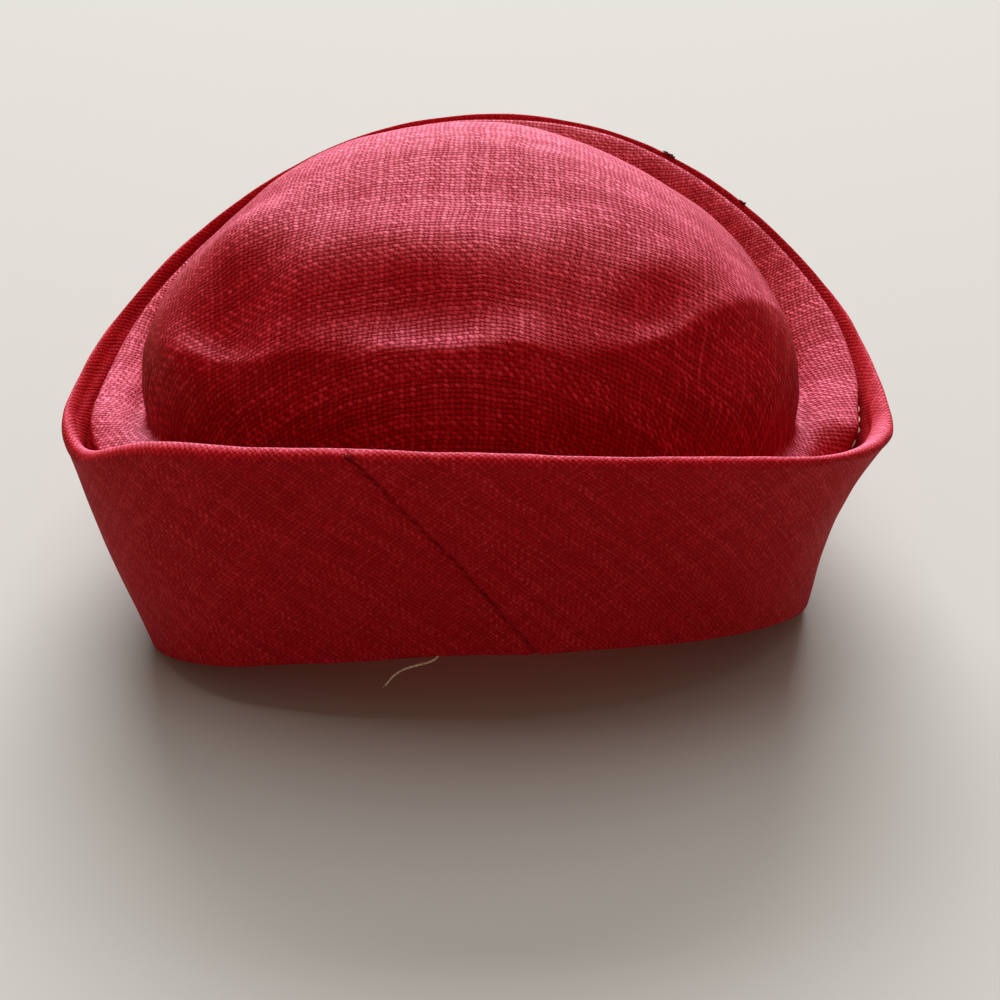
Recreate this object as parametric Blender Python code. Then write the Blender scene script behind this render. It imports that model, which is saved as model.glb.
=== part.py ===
"""A soft cloth hat: a draped dome crown sewn inside a tall turned-up cuff.

Metres, +Z up. The front of the hat faces -Y. The origin is under the middle of the hat, on the
surface that it rests on. The cuff stands on its sides and back, and its front is arched up.
"""

import math

import bmesh
import bpy
import numpy as np

# Driving dimensions of the cuff, as the widest and the furthest reach of its outer face
RIM_HALF_WIDTH = 0.1072
RIM_FRONT = 0.0965
RIM_BACK = 0.0968
RIM_CORNER_LINE = -0.0385
RIM_HEIGHT = 0.0613
RIM_FRONT_LIFT = 0.0200
RIM_BACK_RISE = 0.0282
RIM_BACK_DRIFT = 0.0013
FOOT_HALF_WIDTH = 0.0900
FOOT_FRONT = 0.0926
FOOT_BACK = 0.0905
FOOT_CORNER_LINE = -0.040
FOOT_MIDDLE = 0.0010

# Arch of the foot over the forehead: its height, its middle, how far it runs to each side and
# how softly it ends
ARCH_HEIGHT = 0.0217
ARCH_MIDDLE = math.radians(6)
ARCH_TO_LEFT = math.radians(71)
ARCH_TO_RIGHT = math.radians(90)
ARCH_SOFTNESS = 1.35

# Plan outlines are half superellipses that meet at the corner line: squareness ahead of it and
# behind it, for the rim and dome and for the two sides of the foot
UPPER_SQUARENESS = (2.1, 2.1)
FOOT_LEFT_SQUARENESS = (3.0, 2.4)
FOOT_RIGHT_SQUARENESS = (1.95, 2.4)
LIFT_SQUARENESS = 2.4

# Cloth and wall thicknesses
CUFF_WALL = 0.0032
CUFF_ROLL = 0.0044
CROWN_CLOTH = 0.0016
SEAM_GAP = 0.0003

# How far the middle of the cuff's wall is drawn in, on the left and on the right of the hat
LEFT_WAIST = -0.0015
RIGHT_WAIST = 0.0036

# Mesh divisions
AROUND = 80
RINGS_PER_ROW = 2

# Outer and inner face of the cuff's wall, from the foot up over the rolled edge and down again:
# share of the wall's height, inset from the outer face, share of the waist
CUFF_SECTION = (
    # name, height_share, inset, waist_share
    ("foot_outer", 0.000, 0.0006, 0.0),
    ("hem_outer", 0.020, 0.0000, 0.0),
    ("low_outer", 0.250, 0.0000, 0.6),
    ("middle_outer", 0.500, 0.0000, 1.0),
    ("high_outer", 0.750, 0.0000, 0.8),
    ("roll_outer_low", 0.940, 0.0000, 0.2),
    ("roll_outer", 0.975, 0.0001, 0.1),
    ("roll_shoulder", 0.994, 0.0010, 0.0),
    ("roll_top", 1.000, 0.5 * CUFF_ROLL, 0.0),
    ("roll_inner_shoulder", 0.994, CUFF_ROLL - 0.0010, 0.0),
    ("roll_inner", 0.970, CUFF_ROLL, 0.1),
    ("roll_inner_low", 0.935, CUFF_WALL + 0.0004, 0.2),
    ("high_inner", 0.750, CUFF_WALL, 0.8),
    ("middle_inner", 0.500, CUFF_WALL, 1.0),
    ("low_inner", 0.250, CUFF_WALL, 0.6),
    ("foot_inner", 0.000, CUFF_WALL, 0.0),
)

# Bank of cloth between the cuff and the dome: inset from the cuff's inner face and depth below
# the rim, each at the front and from the corners back
CROWN_BANK = (
    # name, inset_ahead, inset_behind, below_ahead, below_behind
    ("seam", SEAM_GAP, SEAM_GAP, 0.0210, 0.0090),
    ("seam_turn", 0.0010, 0.0007, 0.0180, 0.0050),
    ("bank_edge", 0.0024, 0.0024, 0.0160, 0.0022),
    ("bank_top", 0.0046, 0.0062, 0.0158, 0.0016),
    ("bank_fall", 0.0064, 0.0106, 0.0172, 0.0034),
)
BANK_FALL_START = math.radians(35)
BANK_FALL_END = math.radians(80)

# The dome's level outlines: half width, reach to the front and to the back, the line where it is
# widest, and the outline's height at the front, at its widest and at the back
CROWN_DOME = (
    # name, half_width, front, back, widest, z_front, z_side, z_back
    ("groove", 0.0858, 0.0800, 0.0734, -0.0328, 0.0630, 0.0588, 0.0850),
    ("wall_foot", 0.0852, 0.0792, 0.0712, -0.0326, 0.0720, 0.0664, 0.0862),
    ("wall", 0.0833, 0.0782, 0.0682, -0.0326, 0.0820, 0.0762, 0.0888),
    ("ridge_under", 0.0789, 0.0763, 0.0632, -0.0318, 0.0897, 0.0846, 0.0924),
    ("ridge_over", 0.0733, 0.0722, 0.0576, -0.0305, 0.0941, 0.0905, 0.0957),
    ("shoulder", 0.0676, 0.0666, 0.0512, -0.0282, 0.0966, 0.0957, 0.0990),
    ("crown_edge", 0.0578, 0.0575, 0.0422, -0.0222, 0.1005, 0.1036, 0.1040),
    ("crown_mid", 0.0430, 0.0429, 0.0312, -0.0138, 0.1070, 0.1112, 0.1102),
    ("crown_top", 0.0242, 0.0225, 0.0184, -0.0054, 0.1130, 0.1160, 0.1158),
)
DOME_DRIFT = -0.0018
DOME_PEAK = (DOME_DRIFT, 0.001, 0.1176)

# Soft dents and swells of the draped dome: middle, half length along and half width across a
# line at a turn from +X, and rise
CROWN_FOLDS = (
    # name, x, y, length, width, turn, rise
    ("left_dent", -0.058, -0.042, 0.017, 0.009, math.radians(70), -0.0024),
    ("left_swell", -0.038, -0.036, 0.020, 0.009, math.radians(75), 0.0010),
    ("middle_hollow", -0.014, -0.052, 0.016, 0.010, math.radians(0), -0.0012),
    ("right_dent", 0.044, -0.050, 0.011, 0.006, math.radians(40), -0.0020),
    ("right_ridge", 0.059, -0.046, 0.014, 0.008, math.radians(50), 0.0022),
    ("forehead_swell", 0.011, -0.066, 0.010, 0.007, math.radians(0), 0.0012),
    ("forehead_dip", 0.024, -0.069, 0.008, 0.006, math.radians(0), -0.0012),
    ("right_fall", 0.048, 0.008, 0.030, 0.018, math.radians(-40), -0.0020),
    ("left_rise", -0.050, 0.006, 0.028, 0.018, math.radians(40), 0.0012),
)

# Waves of the cuff's rim: angle from the front, half spread and rise
RIM_WAVES = (
    # name, turn, spread, rise
    ("left_hump", math.radians(-44), math.radians(11), 0.0024),
    ("left_dip", math.radians(-66), math.radians(12), -0.0032),
    ("seam_hump", math.radians(-12), math.radians(14), 0.0008),
    ("right_swell", math.radians(70), math.radians(14), 0.0006),
)

PIECES = (
    # name, colour, roughness
    ("cuff", (0.36, 0.008, 0.018, 1.0), 0.82),
    ("crown", (0.45, 0.016, 0.034, 1.0), 0.80),
)


def clear_scene():
    for obj in list(bpy.data.objects):
        bpy.data.objects.remove(obj, do_unlink=True)


def outline(turn, half_width, front, back, corner_line, squareness=UPPER_SQUARENESS):
    """Point of a plan outline at an angle from the front, turning towards +X.

    The squareness is a pair: ahead of the corner line and behind it.
    """
    side, ahead = math.sin(turn), math.cos(turn)
    reach = front + corner_line if ahead > 0 else back - corner_line
    power = squareness[0] if ahead > 0 else squareness[1]
    size = (abs(side) ** power + abs(ahead) ** power) ** (-1 / power)
    return half_width * size * side, corner_line - reach * size * ahead


def front_lift(x, y, half_width, corner_line):
    """Share of the front's rise at a point of the rim: 1 in the middle, 0 from the corners back."""
    if y >= corner_line:
        return 0.0
    return max(0.0, 1 - abs(x / half_width) ** LIFT_SQUARENESS)


def rim_waves(turn):
    rise = 0.0
    for _, middle, spread, height in RIM_WAVES:
        away = (turn - middle + math.pi) % (2 * math.pi) - math.pi
        rise += height * math.exp(-((away / spread) ** 2))
    return rise


def rim_point(turn):
    x, y = outline(turn, RIM_HALF_WIDTH, RIM_FRONT, RIM_BACK, RIM_CORNER_LINE)
    backness = max(0.0, (y - RIM_CORNER_LINE) / (RIM_BACK - RIM_CORNER_LINE))
    lift = RIM_FRONT_LIFT * front_lift(x, y, RIM_HALF_WIDTH, RIM_CORNER_LINE)
    z = RIM_HEIGHT + lift + RIM_BACK_RISE * backness**2 + rim_waves(turn)
    return np.array((x + RIM_BACK_DRIFT * backness**2, y, z))


def foot_arch(turn):
    """Height of the foot above the resting surface."""
    away = (turn - ARCH_MIDDLE + math.pi) % (2 * math.pi) - math.pi
    share = min(1.0, abs(away) / (ARCH_TO_RIGHT if away > 0 else ARCH_TO_LEFT))
    return ARCH_HEIGHT * (1 - share**2) ** ARCH_SOFTNESS


def foot_point(turn):
    squareness = FOOT_RIGHT_SQUARENESS if math.sin(turn) > 0 else FOOT_LEFT_SQUARENESS
    x, y = outline(turn, FOOT_HALF_WIDTH, FOOT_FRONT, FOOT_BACK, FOOT_CORNER_LINE, squareness)
    return np.array((x + FOOT_MIDDLE, y, foot_arch(turn)))


def even_turns(count):
    """Angles that divide the rim into stretches of equal length, starting at the front."""
    fine = np.linspace(0, 2 * math.pi, 4001)
    points = np.array([rim_point(turn) for turn in fine])
    run = np.concatenate(([0.0], np.cumsum(np.linalg.norm(np.diff(points, axis=0), axis=1))))
    return np.interp(np.linspace(0, run[-1], count, endpoint=False), run, fine)


def inward(turns):
    """Level unit vectors pointing into the hat, square to the rim at each angle."""
    step = 1e-3
    ahead = np.array([rim_point(turn + step) - rim_point(turn - step) for turn in turns])
    normal = np.stack((-ahead[:, 1], ahead[:, 0], np.zeros(len(turns))), axis=1)
    return normal / np.linalg.norm(normal, axis=1)[:, None]


def waist(turns):
    """How far the middle of the cuff's wall is drawn in at each angle."""
    rightness = 0.5 + 0.5 * np.sin(turns)
    return LEFT_WAIST + (RIGHT_WAIST - LEFT_WAIST) * rightness


def cuff_ring(turns, height_share, inset, waist_share):
    foot = np.array([foot_point(turn) for turn in turns])
    rim = np.array([rim_point(turn) for turn in turns])
    drawn = inset + waist_share * waist(turns)
    return foot + (rim - foot) * height_share + inward(turns) * drawn[:, None]


def inner_face(column, height_share):
    """Inset or waist share of the cuff's inner face at a share of its height."""
    inner = [row for row in CUFF_SECTION if row[0].endswith(("inner", "inner_low"))]
    inner.sort(key=lambda row: row[1])
    return np.interp(height_share, [row[1] for row in inner], [row[column] for row in inner])


def blend_by_side(turns, front, side, back):
    """Values round an outline that has one value at the front, one at the sides and one behind."""
    ahead = np.cos(turns)
    toward = np.where(ahead > 0, front, back)
    return side + (toward - side) * ahead**2


def bank_ring(turns, row):
    """Ring of the crown's bank, measured from the cuff's inner face and from the rim."""
    _, inset_ahead, inset_behind, below_ahead, below_behind = row
    from_front = np.arccos(np.cos(turns))
    behind = np.clip((from_front - BANK_FALL_START) / (BANK_FALL_END - BANK_FALL_START), 0, 1)
    behind = behind**2 * (3 - 2 * behind)
    below = below_ahead + (below_behind - below_ahead) * behind
    inset = inset_ahead + (inset_behind - inset_ahead) * behind
    foot = np.array([foot_point(turn) for turn in turns])
    rim = np.array([rim_point(turn) for turn in turns])
    share = 1 - below / (rim[:, 2] - foot[:, 2])
    drawn = inset + inner_face(2, share) + inner_face(3, share) * waist(turns)
    return foot + (rim - foot) * share[:, None] + inward(turns) * drawn[:, None]


def dome_ring(turns, row):
    _, half_width, front, back, widest, z_front, z_side, z_back = row
    plan = np.array([outline(turn, half_width, front, back, widest) for turn in turns])
    plan[:, 0] += DOME_DRIFT
    return np.column_stack((plan, blend_by_side(turns, z_front, z_side, z_back)))


def smooth_rings(rows, per_row):
    """Rings along a Catmull-Rom curve through the given rings, without the last one."""
    beyond_peak = 2 * rows[-1] - rows[-2]
    beyond_peak[:, 2] = rows[-2][:, 2]
    knots = [rows[0], *rows, beyond_peak]
    rings = []
    for a, b, c, d in zip(knots, knots[1:], knots[2:], knots[3:]):
        for step in range(per_row):
            s = step / per_row
            bend = (2 * a - 5 * b + 4 * c - d) * s**2 + (3 * b - a - 3 * c + d) * s**3
            rings.append(b + 0.5 * ((c - a) * s + bend))
    return rings


def press_folds(ring):
    for _, x, y, length, width, turn, rise in CROWN_FOLDS:
        east, north = ring[:, 0] - x, ring[:, 1] - y
        along = east * math.cos(turn) + north * math.sin(turn)
        across = north * math.cos(turn) - east * math.sin(turn)
        ring[:, 2] += rise * np.exp(-((along / length) ** 2) - (across / width) ** 2)
    return ring


def add_ring(mesh, ring):
    corners = [mesh.verts.new(point) for point in ring]
    return [mesh.edges.new((corners[i - 1], corners[i])) for i in range(len(corners))]


def loft(rings, closed):
    """Mesh through a row of rings, each bridged to the next."""
    mesh = bmesh.new()
    loops = [add_ring(mesh, ring) for ring in rings]
    pairs = list(zip(loops, loops[1:]))
    if closed:
        pairs.append((loops[-1], loops[0]))
    for low, high in pairs:
        bmesh.ops.bridge_loops(mesh, edges=low + high)
    return mesh, loops


def finish_piece(mesh, name, colour, roughness, collection):
    bmesh.ops.recalc_face_normals(mesh, faces=mesh.faces)
    data = bpy.data.meshes.new(name)
    mesh.to_mesh(data)
    mesh.free()
    data.shade_smooth()
    data.set_sharp_from_angle(angle=math.radians(50))
    material = bpy.data.materials.new(name + "_cloth")
    material.use_nodes = True
    shader = material.node_tree.nodes["Principled BSDF"]
    shader.inputs["Base Color"].default_value = colour
    shader.inputs["Roughness"].default_value = roughness
    shader.inputs["Metallic"].default_value = 0.0
    data.materials.append(material)
    obj = bpy.data.objects.new(name, data)
    collection.objects.link(obj)
    return obj


def make_cuff():
    """Turned-up cuff: one closed wall all round, rolled over at its top edge."""
    turns = even_turns(AROUND)
    mesh, _ = loft([cuff_ring(turns, *row[1:]) for row in CUFF_SECTION], closed=True)
    return mesh


def inner_skin(rings, thickness):
    """The rings moved through the cloth, square to its outer face."""
    grid = np.array(rings)
    around = np.roll(grid, -1, axis=1) - np.roll(grid, 1, axis=1)
    normal = np.cross(around, np.gradient(grid, axis=0))
    normal /= np.linalg.norm(normal, axis=2)[..., None]
    return list(grid - thickness * normal)


def close_top(mesh, loop, peak):
    """Fan of faces from a loop of edges to one point."""
    top = bmesh.ops.extrude_edge_only(mesh, edges=loop)
    tips = [item for item in top["geom"] if isinstance(item, bmesh.types.BMVert)]
    bmesh.ops.pointmerge(mesh, verts=tips, merge_co=peak)


def make_crown():
    """Crown cloth: one shell from the seam on the cuff to the top of the dome."""
    turns = even_turns(AROUND)
    peak = np.tile(DOME_PEAK, (AROUND, 1))
    rows = [bank_ring(turns, row) for row in CROWN_BANK]
    rows += [dome_ring(turns, row) for row in CROWN_DOME]
    outer = [press_folds(ring) for ring in smooth_rings([*rows, peak], RINGS_PER_ROW)]
    inner = inner_skin(outer, CROWN_CLOTH)
    mesh, loops = loft([*reversed(inner), *outer], closed=False)
    close_top(mesh, loops[0], np.subtract(DOME_PEAK, (0, 0, CROWN_CLOTH)))
    close_top(mesh, loops[-1], DOME_PEAK)
    return mesh


def main():
    clear_scene()
    hat = bpy.data.collections.new("hat")
    bpy.context.scene.collection.children.link(hat)
    looks = {name: (colour, roughness) for name, colour, roughness in PIECES}
    finish_piece(make_cuff(), "cuff", *looks["cuff"], hat)
    finish_piece(make_crown(), "crown", *looks["crown"], hat)


main()
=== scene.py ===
"""A soft red linen hat: a draped dome crown sewn inside a tall turned-up cuff.

Run as a script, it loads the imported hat, puts a finely made cloth piece in the place of each of
its two solids, adds the hat's stitches and loose threads, and sets a plain studio round it.
Metres, +Z up. The front of the hat faces -Y.
"""

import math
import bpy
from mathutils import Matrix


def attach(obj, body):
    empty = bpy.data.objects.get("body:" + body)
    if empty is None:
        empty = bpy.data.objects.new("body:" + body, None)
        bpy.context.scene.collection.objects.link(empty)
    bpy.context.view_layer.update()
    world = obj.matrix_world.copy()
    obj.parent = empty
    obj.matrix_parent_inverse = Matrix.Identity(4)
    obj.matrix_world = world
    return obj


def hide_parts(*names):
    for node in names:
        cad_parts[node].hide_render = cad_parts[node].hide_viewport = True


bl_info = {
    "name": "Soft linen hat",
    "version": (1, 0, 0),
    "blender": (4, 5, 0),
    "location": "3D View > Sidebar > Hat",
    "description": "Models a soft linen hat with a draped crown and a turned-up cuff",
    "category": "Object",
}

import bmesh
import bpy
import numpy as np
from bpy.props import FloatProperty, FloatVectorProperty, IntProperty, PointerProperty
from mathutils import Matrix, Vector, noise

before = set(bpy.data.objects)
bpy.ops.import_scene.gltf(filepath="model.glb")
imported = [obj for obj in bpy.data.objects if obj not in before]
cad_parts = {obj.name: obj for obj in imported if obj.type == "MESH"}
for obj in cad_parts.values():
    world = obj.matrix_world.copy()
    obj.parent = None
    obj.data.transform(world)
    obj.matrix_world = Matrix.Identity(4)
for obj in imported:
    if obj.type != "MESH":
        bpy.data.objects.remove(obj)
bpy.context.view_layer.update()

# Plan outlines are half superellipses that meet at the corner line: squareness ahead of it and
# behind it
UPPER_SQUARENESS = (2.1, 2.1)
FOOT_LEFT_SQUARENESS = (3.0, 2.4)
FOOT_RIGHT_SQUARENESS = (1.95, 2.4)
LIFT_SQUARENESS = 2.4
RIM_CORNER_LINE = -0.0385
FOOT_CORNER_LINE = -0.040
FOOT_MIDDLE = 0.0010
RIM_BACK_DRIFT = 0.0013

# Arch of the foot over the forehead
ARCH_MIDDLE = math.radians(6)
ARCH_TO_LEFT = math.radians(71)
ARCH_TO_RIGHT = math.radians(90)
ARCH_SOFTNESS = 1.35

# How far the middle of the cuff's wall is drawn in, on the left and on the right of the hat, and
# how high up the wall that is
LEFT_WAIST = -0.0015
RIGHT_WAIST = 0.0036
WAIST_RISE = 1.1

# Share of the cuff's height where its rolled edge starts, and where its lower fold ends
ROLL_START = 0.955
ROLL_BLEND = 0.905
HEM_END = 0.030

# Rows of the cuff's mesh on its outer face, its roll, the bend behind the roll, its inner face and
# its hem, the row on top of the roll and one row on the outer face
FACE_ROWS = 38
ROLL_STEPS = 15
BEND_STEPS = 5
INNER_STEPS = 21
HEM_STEPS = 9
ROLL_TOP_ROW = FACE_ROWS + 8
OUTER_ROW = 18

# Waves of the cuff's rim: angle from the front, half spread and rise
RIM_WAVES = (
    # name, turn_degrees, spread_degrees, rise
    ("left_hump", -44, 11, 0.0012),
    ("left_dip", -65, 13, -0.0046),
    ("seam_hump", -12, 14, 0.0008),
    ("right_swell", 70, 14, 0.0006),
)

# Where the rim bellies out: angle from the front, half spread and reach
RIM_BELLIES = (
    # name, turn_degrees, spread_degrees, out
    ("right_rear", 112, 20, 0.0012),
    ("left_rear", -108, 20, 0.0010),
)

# Round the rim: the thickness of its roll, the gap between the roll and the crown's bank, and how
# far the bank lies below the rim, at angles from the front
RIM_PROFILE = (
    # turn_degrees, roll, gap, below
    (-180, 0.0026, 0.0004, 0.0006),
    (-150, 0.0022, 0.0002, 0.0004),
    (-110, 0.0021, 0.0012, 0.0013),
    (-98, 0.0022, 0.0024, 0.0020),
    (-84, 0.0028, 0.0031, 0.0018),
    (-70, 0.0034, 0.0026, 0.0022),
    (-60, 0.0050, 0.0016, 0.0040),
    (-46, 0.0058, 0.0016, 0.0140),
    (-20, 0.0050, 0.0020, 0.0160),
    (20, 0.0042, 0.0020, 0.0160),
    (50, 0.0038, 0.0020, 0.0150),
    (66, 0.0046, 0.0030, 0.0156),
    (78, 0.0052, 0.0030, 0.0130),
    (88, 0.0044, 0.0026, 0.0046),
    (98, 0.0030, 0.0010, 0.0014),
    (108, 0.0019, 0.0003, 0.0002),
    (150, 0.0018, 0.0002, -0.0002),
    (180, 0.0026, 0.0004, 0.0006),
)
RIM_SOFTNESS = 6
RIM_SOFT_STEPS = 9

# The roll: how far it bulges outwards, at which share of the height over its start and how widely,
# and how square its outer half and its inner half are
ROLL_BULGE = 0.0003
BULGE_ABOVE = 0.008
BULGE_SPREAD = 0.013
ROLL_FLATNESS = 0.7
ROLL_INNER_FALL = 1.4

# Slanted seam of the cuff: its angle from the front at the foot and at the rim, the widths of its
# groove and of the painted shade down in it, how dark that painted shade is, and the share of a
# distance along the rim that runs square across it
SEAM_TURN_FOOT = math.radians(10.2)
SEAM_TURN_RIM = math.radians(-14.4)
SEAM_HALF_WIDTH = 0.00045
SEAM_SHADE_WIDTH = 1.3 * SEAM_HALF_WIDTH
SEAM_DARKNESS = 0.45
SEAM_SLANT = 0.75

# How the seam wavers sideways and how its depth wavers, each by two waves up the cuff
SEAM_WAVER = 0.0005
SEAM_WAVER_TURNS = (23.0, 9.0)
SEAM_DEPTH_WAVES = (0.0050, 0.0021)

# Where the seam ends on the roll, as shares of the roll's thickness
SEAM_END = 0.6
SEAM_END_FADE = 0.4

# Divisions of the cuff are closest together at the seam: 0 is even, 1 leaves none between
SEAM_CROWDING = 0.7

# Puckers across the seam, and the swell of cloth on both sides of it
PUCKER_DEPTH = 0.00022
PUCKER_REACH = 0.0035
PUCKER_LENGTH = 0.0009
PUCKER_DRIFT = 0.004
SWELL_RISE = 0.00030
SWELL_AWAY = 0.0022
SWELL_WIDTH = 0.0014

# Unevenness of the cloth of each piece, and the height over which it dies out at the foot
CUFF_WAVES = (
    # wavelength, seed, share
    (0.028, 3.1, 1.0),
    (0.009, 8.4, 0.35),
)
CROWN_WAVES = (
    # wavelength, seed, share
    (0.030, 5.2, 1.0),
    (0.010, 9.9, 0.3),
)
FOOT_CALM = 0.004

# Step on the cloth from the last row of the hem to the first
HEM_STEP = 0.0005

# Bank of cloth between the cuff and the dome: mesh steps to the next row, share of the gap to the
# cuff's roll, extra inset and extra depth below the rim
CROWN_BANK = (
    # name, steps, gap_share, inset, below
    ("seam", 3, 0.0, 0.0003, 0.0068),
    ("seam_turn", 3, 0.6, 0.0004, 0.0040),
    ("bank_edge", 3, 1.0, 0.0005, 0.0009),
    ("bank_top", 4, 1.0, 0.0024, 0.0000),
)

# Ring between the bank and the groove: steps to the groove, how near it is to the bank, and how far
# it lies above the line between them
BANK_FALL_STEPS = 7
BANK_FALL_SHARE = 0.55
BANK_FALL = 0.0006

# Reach of the groove's crease, and of the calm cloth beside the seam
GROOVE_REACH = 0.0022
SEAM_CALM = 0.012

# The dome's level outlines: mesh steps to the next row, half width, reach to the front and to
# the back, the line where it is widest, and its height in front, at its widest and behind
CROWN_DOME = (
    # name, steps, half_width, front, back, widest, z_front, z_side, z_back
    ("groove", 8, 0.0858, 0.0800, 0.0734, -0.0328, 0.0630, 0.0570, 0.0790),
    ("wall_foot", 8, 0.0852, 0.0792, 0.0712, -0.0326, 0.0720, 0.0660, 0.0822),
    ("wall", 8, 0.0833, 0.0776, 0.0682, -0.0326, 0.0812, 0.0762, 0.0880),
    ("ridge_under", 7, 0.0789, 0.0737, 0.0632, -0.0318, 0.0884, 0.0846, 0.0924),
    ("ridge_over", 6, 0.0733, 0.0692, 0.0576, -0.0305, 0.0938, 0.0905, 0.0957),
    ("shoulder", 9, 0.0676, 0.0660, 0.0512, -0.0282, 0.0962, 0.0957, 0.0990),
    ("crown_edge", 11, 0.0578, 0.0575, 0.0422, -0.0222, 0.1005, 0.1036, 0.1040),
    ("crown_mid", 11, 0.0430, 0.0429, 0.0312, -0.0138, 0.1070, 0.1112, 0.1102),
    ("crown_top", 9, 0.0242, 0.0225, 0.0184, -0.0054, 0.1130, 0.1160, 0.1158),
)
DOME_DRIFT = -0.0018

# Where the groove between bank and dome runs deeper: angle from the front, half spread and depth
GROOVE_DIPS = (
    # name, turn_degrees, spread_degrees, depth
    ("right_rear", 124, 24, 0.0075),
    ("left_rear", -118, 20, 0.0050),
)
DOME_PEAK = (DOME_DRIFT, 0.001, 0.1176)

# Painted sheen: the directions of the light for the crown and for the cuff, which are painted paler
# and pinker where they face it, and where and how fast the painted sheen sets in
CROWN_SHEEN_LIGHT = (0.0, 0.6, 0.8)
CUFF_SHEEN_LIGHT = (0.0, 0.77, 0.64)
SHEEN_START = 0.15
SHEEN_POWER = 2.0

# How strongly the crosswise threads hang towards the forehead at the sides, and over what width
WEFT_SAG = 5.0
WEFT_SAG_REACH = 0.05

# How far the threads of the draped crown may turn and shorten on its slopes
DRAPE_LIMIT = 0.45
DRAPE_PULL = 0.35

# Soft dents and swells of the draped dome: middle, half length along and half width across a
# line at a turn from +X, and rise
CROWN_FOLDS = (
    # name, x, y, length, width, turn_degrees, rise
    ("left_swell", -0.060, -0.029, 0.015, 0.011, -10, 0.0028),
    ("left_dent", -0.060, -0.057, 0.014, 0.013, 20, -0.0050),
    ("left_lip", -0.069, -0.060, 0.015, 0.006, -42, 0.0036),
    ("left_stripe", -0.040, -0.050, 0.012, 0.009, 80, 0.0024),
    ("middle_hollow", -0.014, -0.056, 0.016, 0.008, 0, -0.0010),
    ("right_dent", 0.045, -0.055, 0.012, 0.006, 40, -0.0018),
    ("right_ridge", 0.060, -0.048, 0.014, 0.007, 50, 0.0014),
    ("forehead_swell", 0.011, -0.066, 0.010, 0.007, 0, 0.0012),
    ("forehead_dip", 0.024, -0.069, 0.008, 0.006, 0, -0.0012),
    ("brow_swell", -0.010, -0.042, 0.040, 0.013, 0, 0.0028),
    ("brow_hollow", -0.010, -0.060, 0.034, 0.008, 0, -0.0021),
    ("brow_fall", -0.010, -0.0730, 0.055, 0.008, 0, -0.0018),
    ("right_front", 0.060, -0.0570, 0.020, 0.007, 42, -0.0034),
    ("right_crest", 0.044, -0.043, 0.012, 0.006, 30, 0.0012),
    ("right_fall", 0.048, 0.008, 0.030, 0.018, -40, -0.0020),
    ("left_rise", -0.050, 0.006, 0.028, 0.018, 40, 0.0012),
)

# The sharp fold where the top of the dome breaks over into its front wall, in plan
RIDGE_LINE = (
    # x, y, strength
    (-0.079, -0.046, 0.2),
    (-0.072, -0.054, 0.9),
    (-0.052, -0.063, 1.4),
    (-0.027, -0.0682, 1.3),
    (0.000, -0.0682, 1.0),
    (0.011, -0.0668, 0.9),
    (0.024, -0.0680, 1.5),
    (0.036, -0.0640, 1.0),
    (0.048, -0.0575, 1.1),
    (0.062, -0.0455, 1.1),
    (0.074, -0.033, 0.8),
    (0.080, -0.026, 0.2),
)
RIDGE_REACH = 0.0034
RIDGE_ROUND = 0.0008
RIDGE_LOWEST = 0.074
RIDGE_FADE = 0.006

# Running stitches in the gap at the right corner
STITCH_START = math.radians(77)
STITCH_COUNT = 6
STITCH_PITCH = 0.0043
STITCH_LENGTH = 0.0029
STITCH_RADIUS = 0.00024
STITCH_GAP_SHARE = 1.0
STITCH_BELOW = 0.0022
STITCH_INSET = 0.0002
STITCH_POINTS = 7
STITCH_ARCH = 1.6
STITCH_SINK = 0.2
STITCH_END = 0.55

# Loose thread under the front of the hem, and the fibres of its split end
THREAD_RADIUS = 0.00030
SPLIT_LENGTH = 0.0016
SPLIT_FIBRES = (
    # x, y, z
    (0.00060, 0.0002, 0.00018),
    (-0.00036, 0.0002, -0.00048),
    (0.00006, 0.0002, 0.00054),
)
LOOSE_THREAD = (
    # x, y, z
    (-0.0070, -0.0912, 0.0216),
    (-0.0086, -0.0936, 0.0215),
    (-0.0107, -0.0945, 0.0212),
    (-0.0134, -0.0947, 0.0204),
    (-0.0162, -0.0946, 0.0190),
    (-0.0185, -0.0945, 0.0169),
    (-0.0201, -0.0943, 0.0144),
)

# Tangles on the rear of the rim, each of a few loops of thread
RIM_KNOTS = (
    # turn_degrees, size, seed
    (149.6, 0.0034, 2.3),
    (135.4, 0.0018, 7.1),
)
KNOT_DRAWS = (0.0, 31.7, 67.3)
KNOT_LOOPS = 4
KNOT_POINTS = 6
KNOT_SPREAD = 0.32
KNOT_RADIUS = 0.00030
KNOT_SHARE = 0.998

# Fibres where the seam crosses the rim
FRAY_RADIUS = 0.00014
FRAY_SHARE = 0.992
FRAY_INSET = 0.0006
FRAY_FIBRES = (
    # side, out, rise
    (0.0016, 0.0008, 0.0004),
    (0.0010, 0.0010, -0.0012),
    (-0.0008, 0.0009, 0.0010),
    (0.0004, 0.0012, 0.0002),
)

# The two ways that the cloth is cut: the turn of its grain, its unevenness, the tones of its darkest
# and its brightest threads, how light those are, and how strongly the painted highlight on thread
# tips and the painted shade in the gaps between threads show
BIAS_LINEN = {
    "turn": math.radians(45),
    "unevenness": 0.5,
    "tones": (0.30, 0.90),
    "lit": (0.29, 1.0),
    "tips": 0.07,
    "gaps": 0.66,
}
STRAIGHT_LINEN = {
    "turn": 0.0,
    "unevenness": 1.0,
    "tones": (0.40, 1.05),
    "lit": (0.0, 0.7),
    "tips": 0.04,
    "gaps": 0.98,
}

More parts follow.
